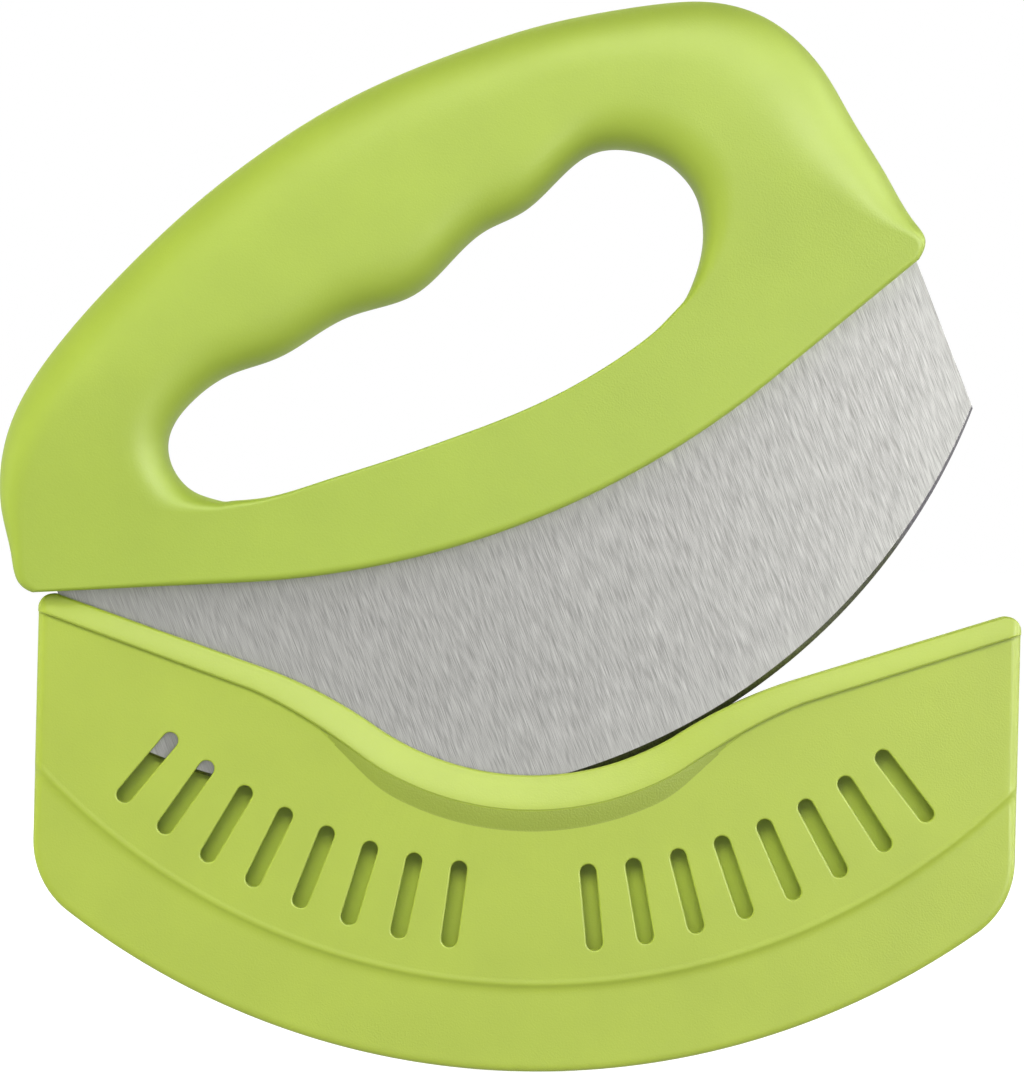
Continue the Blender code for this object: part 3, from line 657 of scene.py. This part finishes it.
def handle_stations():
    """Pairs of points on the handle's outline and on the finger hole, clockwise from the heel.

    Each row holds outline x and z, hole x and z, and how far the outer and the hole edge roll in,
    in steps of the grid. The hole's upper side carries the four finger grooves, and the last rows
    lie along the handle's lower edge. The number of the first of those is returned as well.
    """
    heel = -(BLADE_LENGTH / 2 + HEEL_OVERHANG) / HANDLE_GRID
    toe = (BLADE_LENGTH / 2 + TOE_OVERHANG) / HANDLE_GRID
    rows = [
        (heel, 1.4, -54.6, 5.0, 2.0, 7.0),
        (heel + 0.7, 7.0, -56.6, 8.6, 3.0, 7.5),
        (heel + 1.9, 15.0, -57.0, 12.6, 5.0, 8.0),
        (heel + 8.3, 28.4, -54.8, 17.5, 10.0, 9.0),
        (-69.0, 39.5, -49.0, 21.2, 13.0, 10.0),
        (-53.0, 47.8, -40.5, 23.2, 15.0, 10.5),
        (-38.0, 54.1, -30.5, 23.0, 16.0, 10.5),
        (-22.0, 59.1, -17.0, 25.3, 16.0, 10.5),
        (-7.0, 62.3, -4.4, 24.7, 16.0, 10.5),
        (6.0, 63.6, 4.8, 28.1, 16.0, 10.5),
        (17.0, 63.8, 12.6, 31.1, 15.5, 10.5),
        (29.0, 63.4, 21.4, 32.1, 15.0, 10.5),
        (43.0, 61.8, 34.6, 37.2, 13.0, 10.0),
        (57.0, 58.9, 43.4, 35.2, 15.0, 10.0),
        (68.5, 54.7, 48.5, 30.9, 17.5, 9.5),
        (76.6, 47.5, 50.8, 26.4, 19.0, 9.0),
        (toe - 6.2, 37.0, 51.4, 22.0, 18.5, 8.5),
        (toe - 4.3, 26.0, 50.4, 16.8, 16.0, 7.0),
        (toe - 2.1, 14.0, 48.0, 12.0, 11.0, 5.0),
        (toe - 0.5, 3.9, 44.5, 7.7, 5.0, 3.0),
        (toe, 0.3, 42.6, 6.0, 2.0, 2.0),
    ]
    lower = [
        (toe - 2.4, 40.4, 4.8, 1.4), (67.0, 34.0, 2.0, 1.0), (49.0, 24.0, -0.5, 0.8),
        (31.0, 13.0, -2.1, 0.8), (13.0, 3.0, -2.6, 0.8), (-5.0, -8.0, -2.5, 0.8),
        (-23.0, -20.0, -2.1, 0.8), (-41.0, -32.0, -1.4, 1.0), (-58.0, -42.5, -0.5, 1.6),
        (-74.0, -48.8, 1.2, 3.4), (heel + 1.8, -52.3, 3.0, 5.6),
    ]
    foot_roll = 1.7
    for x, hole_x, hole_z, hole_roll in lower:
        z = handle_lower_edge(x * HANDLE_GRID) / HANDLE_GRID
        rows.append((x, z, hole_x, hole_z, foot_roll, hole_roll))
    return np.array(rows) * HANDLE_GRID, len(rows) - len(lower)


def smooth_loop(rows, steps):
    """A closed cubic spline through rows of numbers, with even bends, spaced by their distance."""
    count = len(rows)
    following = np.roll(rows, -1, axis=0)
    gap = np.hypot(*(following - rows)[:, 0:2].T) + np.hypot(*(following - rows)[:, 2:4].T)
    before = np.roll(gap, 1)
    slope = (following - rows) / gap[:, None]
    system = np.zeros((count, count))
    for i in range(count):
        system[i, i - 1] += before[i]
        system[i, i] += 2 * (before[i] + gap[i])
        system[i, (i + 1) % count] += gap[i]
    bend = np.linalg.solve(system, 6 * (slope - np.roll(slope, 1, axis=0)))
    loop = []
    for i in range(count):
        k = (i + 1) % count
        h = gap[i]
        for j in range(steps):
            a = h * (1 - j / steps)
            b = h * j / steps
            loop.append((bend[i] * a ** 3 + bend[k] * b ** 3) / (6 * h)
                        + (rows[i] / h - bend[i] * h / 6) * a + (rows[k] / h - bend[k] * h / 6) * b)
    return loop


def face_height(z):
    """Half thickness of the handle at a height: slim at its foot, full at the grip."""
    swelled = smooth_step((z - SWELL_START) / (SWELL_END - SWELL_START))
    return (FOOT_THICKNESS + (GRIP_THICKNESS - FOOT_THICKNESS) * swelled) / 2


def roll_section(start, end, outer_roll, hole_roll):
    """Half of the bar's section from the outline over its face to the hole, as (point, depth).

    It starts and ends in the groove of the seam, at whose bottom the two halves meet.
    """
    across = end - start
    width = across.length
    across.normalize()
    room = width * ROLL_SHARE
    eased = [(1 - max(math.cos(turn), 0.0) ** ROLL_EASE, turn) for turn in quarter_turns(ROLL_STEPS)]
    outer_roll = min(outer_roll, room)
    hole_roll = min(hole_roll, room)
    rolled = [(outer_roll * inward, outer_roll, turn) for inward, turn in eased]
    rolled += [(width - hole_roll * inward, hole_roll, turn) for inward, turn in reversed(eased)]
    inner_start, inner_end = start + across * SEAM_DEPTH, end - across * SEAM_DEPTH
    section = [(inner_start, -HANDLE_SEAM / 2), (inner_start, 0.0), (start, 0.0)]
    for reach, roll, turn in rolled:
        point = start + across * reach
        height = face_height(point.z)
        section.append((point, height - min(roll, height - SHELL_RIM) * (1 - math.sin(turn))))
    return section + [(end, 0.0), (inner_end, 0.0), (inner_end, -HANDLE_SEAM / 2)]


def tang_pocket():
    """The slot in the handle's foot that the blade passes through."""
    half = BLADE_LENGTH / 2 + FIT_CLEARANCE
    columns = np.linspace(half, -half, POCKET_COLUMNS)
    outline = [(x, handle_lower_edge(x) + TANG_DEPTH + FIT_CLEARANCE) for x in columns]
    outline += [(-half, -EDGE_DEPTH), (half, -EDGE_DEPTH)]
    return plate("tang_pocket", outline, BLADE_THICKNESS + 2 * FIT_CLEARANCE)


def make_shell(name, side, node, material):
    """One half of the handle; side is -1 for the front and 1 for the rear."""
    rings = []
    stations, first_lower = handle_stations()
    lower_run = range(first_lower * STATION_STEPS, (len(stations) - 1) * STATION_STEPS)
    for i, (ox, oz, hx, hz, outer_roll, hole_roll) in enumerate(smooth_loop(stations, STATION_STEPS)):
        edge = handle_lower_edge(ox)
        start = Vector((ox, 0.0, edge if i in lower_run else max(oz, edge)))
        section = roll_section(start, Vector((hx, 0.0, hz)), outer_roll, hole_roll)
        rings.append([Vector((p.x, side * (depth + HANDLE_SEAM / 2), p.z)) for p, depth in section])
    shell = loft(name, rings, closed=True)
    combine(shell, tang_pocket(), "DIFFERENCE")
    shell.data.transform(knife_matrix())
    finish_piece(shell, "knife", node, [material])


# Stage

def make_floor():
    """A pale floor that runs out into the bright surroundings."""
    bm = bmesh.new()
    bmesh.ops.create_circle(bm, cap_ends=True, segments=FLOOR_SEGMENTS, radius=FLOOR_RADIUS)
    floor = mesh_object("floor", bm)
    material, _, _, shader = principled("pale_floor", 0.9)
    shader.inputs["Base Color"].default_value = (0.3, 0.3, 0.3, 1.0)
    shader.inputs["Specular IOR Level"].default_value = 0.0
    shader.inputs["Emission Color"].default_value = (1.0, 1.0, 1.0, 1.0)
    shader.inputs["Emission Strength"].default_value = 0.92
    floor.data.materials.append(material)
    floor.visible_diffuse = False
    floor.visible_glossy = False


def make_surroundings():
    """White to the eye; as light, brightest from the sides and dimmest from overhead."""
    world = bpy.data.worlds.new("studio")
    bpy.context.scene.world = world
    world.use_nodes = True
    nodes, links = world.node_tree.nodes, world.node_tree.links
    place = nodes.new("ShaderNodeTexCoord")
    split = nodes.new("ShaderNodeSeparateXYZ")
    lift = nodes.new("ShaderNodeMapRange")
    lift.inputs["From Min"].default_value = -1.0
    shade = nodes.new("ShaderNodeValToRGB")
    stops = shade.color_ramp.elements
    stops.new(0.5)
    for stop, (position, value) in zip(stops, ((0.1, FLOOR_GLOW), (0.5, SIDE_GLOW), (0.9, TOP_GLOW))):
        stop.position = position
        stop.color = (value, value, value, 1.0)
    white = nodes.new("ShaderNodeBackground")
    white.inputs["Color"].default_value = (1.0, 1.0, 1.0, 1.0)
    seen = nodes.new("ShaderNodeLightPath")
    mix = nodes.new("ShaderNodeMixShader")
    links.new(place.outputs["Generated"], split.inputs["Vector"])
    links.new(split.outputs["Z"], lift.inputs["Value"])
    links.new(lift.outputs["Result"], shade.inputs["Fac"])
    links.new(shade.outputs["Color"], nodes["Background"].inputs["Color"])
    links.new(seen.outputs["Is Camera Ray"], mix.inputs["Fac"])
    links.new(nodes["Background"].outputs["Background"], mix.inputs[1])
    links.new(white.outputs["Background"], mix.inputs[2])
    links.new(mix.outputs["Shader"], nodes["World Output"].inputs["Surface"])


def area_light(name, place, width, height, power, diffuse=True, glossy=True):
    light = bpy.data.lights.new(name, "AREA")
    light.shape = "RECTANGLE"
    light.size = width
    light.size_y = height
    light.energy = power
    obj = bpy.data.objects.new(name, light)
    obj.location = place
    obj.visible_diffuse = diffuse
    obj.visible_glossy = glossy
    obj.rotation_euler = (CAMERA_AIM - Vector(place)).to_track_quat("-Z", "Y").to_euler()
    bpy.context.scene.collection.objects.link(obj)


def make_camera():
    data = bpy.data.cameras.new("camera")
    data.sensor_width = SENSOR
    data.lens = SENSOR * CAMERA_DISTANCE / (max(PHOTO_WIDTH, PHOTO_HEIGHT) * PHOTO_SCALE)
    camera = bpy.data.objects.new("camera", data)
    place = Matrix.Translation(CAMERA_AIM + Vector((0.0, -CAMERA_DISTANCE, 0.0)))
    level = Matrix.Rotation(math.pi / 2, 4, "X")
    camera.matrix_world = place @ level @ Matrix.Rotation(CAMERA_ROLL, 4, "Z")
    bpy.context.scene.collection.objects.link(camera)
    bpy.context.scene.camera = camera


def main():
    bpy.context.scene.view_settings.view_transform = "Standard"
    make_camera()
    make_floor()
    make_surroundings()
    area_light("key", (-0.08, -1.13, 0.7), 0.6, 0.6, 12.2, glossy=False)
    area_light("gloss", (0.05, -0.75, 1.05), 1.2, 0.8, 15.0, diffuse=False)
    area_light("right_front", (0.45, -0.55, 0.2), 0.3, 0.4, 6.0, diffuse=False)
    area_light("right_gloss", (0.95, -0.05, 0.6), 0.6, 0.8, 10.0, diffuse=False)
    area_light("left_side", (-1.1, -0.05, 0.2), 0.5, 0.7, 7.0, glossy=False)
    area_light("right_side", (1.1, -0.05, 0.2), 0.5, 0.7, 6.5)
    area_light("rear", (-0.2, 1.1, 0.75), 0.5, 0.5, 13.5, glossy=False)
    sheath_green = lime_plastic("sheath_green", (0.355, 0.447, 0.042), 0.47, 0.03 * MM)
    handle_green = lime_plastic("handle_green", (0.325, 0.43, 0.039), 0.53, 0.03 * MM)
    # A darker copy of the sheath's plastic with coarser grain, for the cove's downward slope: painted
    # shade.
    cove_grain_and_painted_shade = lime_plastic("cove_grain_and_painted_shade", (0.265, 0.335, 0.033), 0.5, 0.08 * MM)
    make_sheath(sheath_green, cove_grain_and_painted_shade)
    make_blade(brushed_steel(), ground_steel_painted_dark(), sheared_steel())
    make_shell("handle_front_moulding", -1, "handle_front_shell", handle_green)
    make_shell("handle_rear_moulding", 1, "handle_rear_shell", handle_green)


main()
